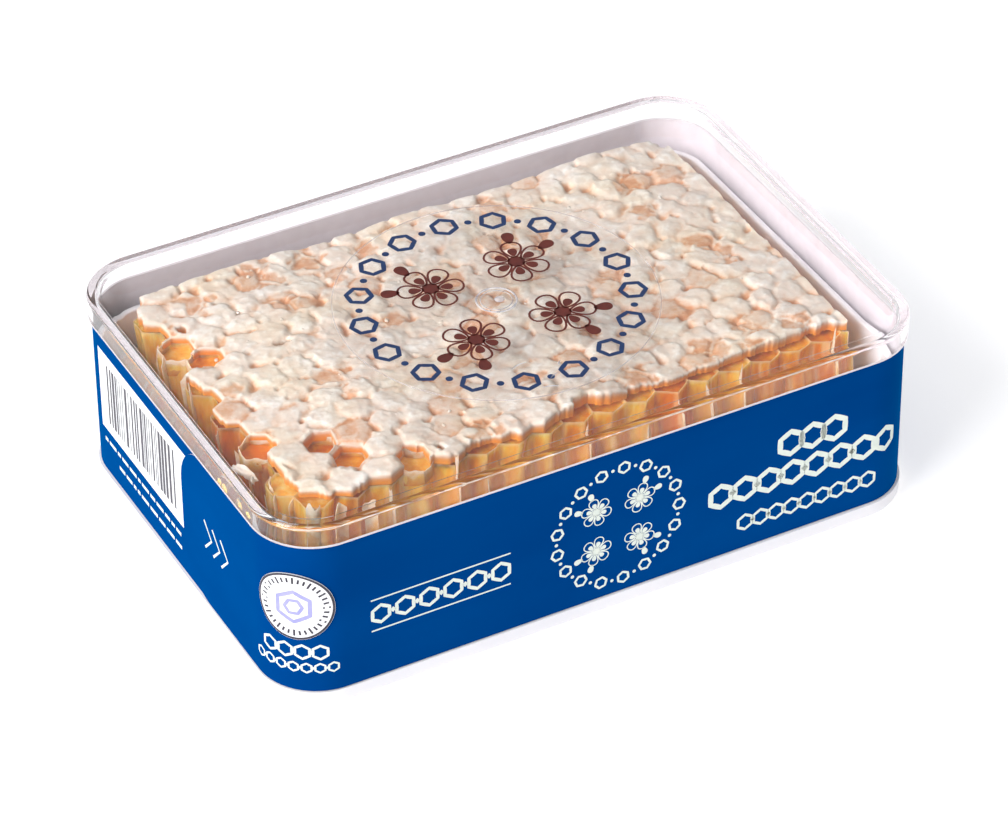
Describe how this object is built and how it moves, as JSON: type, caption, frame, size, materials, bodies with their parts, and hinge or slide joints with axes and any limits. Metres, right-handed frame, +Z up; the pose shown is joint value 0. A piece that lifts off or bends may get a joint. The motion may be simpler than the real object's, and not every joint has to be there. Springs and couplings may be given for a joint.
{
  "type": "boxed honeycomb piece",
  "caption": "Slab of cut, wax-capped honeycomb in a shut rectangular box: white tray, clear lid and plain blue wrap-round label.",
  "frame": {"origin": "middle of the base, on the surface that the box stands on", "axes": "+Z up, X along the box's long side, -Y towards the label's front, -X towards the side where the label's end laps over"},
  "size_m": [0.1028, 0.07, 0.0318],
  "materials": {
    "tray": "satin opaque white",
    "lid": "clear crystal plastic, polished",
    "honey": "amber honey in thin wax cells, wet gloss",
    "wax": "cream beeswax, uneven, soft sheen",
    "label": "coated paper, deep blue, half gloss",
    "seal": "white paper sticker",
    "film": "clear film with opaque print"
  },
  "bodies": {
    "root": {"tray": "tray", "lid": "lid", "honey_cells": "honey", "wax_cappings": "wax", "label": "label", "seal": "seal", "lid_film": "film"}
  },
  "joints": []
}
